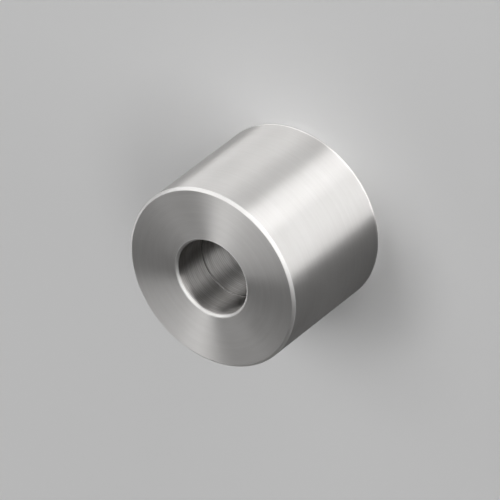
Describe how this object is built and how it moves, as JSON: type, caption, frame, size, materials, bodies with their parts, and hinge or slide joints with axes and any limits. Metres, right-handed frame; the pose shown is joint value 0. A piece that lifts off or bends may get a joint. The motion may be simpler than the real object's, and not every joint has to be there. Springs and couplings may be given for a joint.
{
  "type": "turned spacer bush",
  "caption": "Short round metal bush, turned from bar, with flat ends, small chamfered rims and a through bore that widens slightly into a shallow seat at the front end.",
  "frame": {"origin": "centre of the rear face, which the bush stands on", "axes": "+Z along the turning axis, from the rear face to the front face with the seat; X and Y are free, because the bush is round"},
  "size_m": [0.03, 0.03, 0.023],
  "materials": {
    "turned_steel": "bright fine-turned stainless steel, with feed marks round the wall and faces"
  },
  "bodies": {
    "root": {"turned_bush": "turned_steel"}
  },
  "joints": []
}
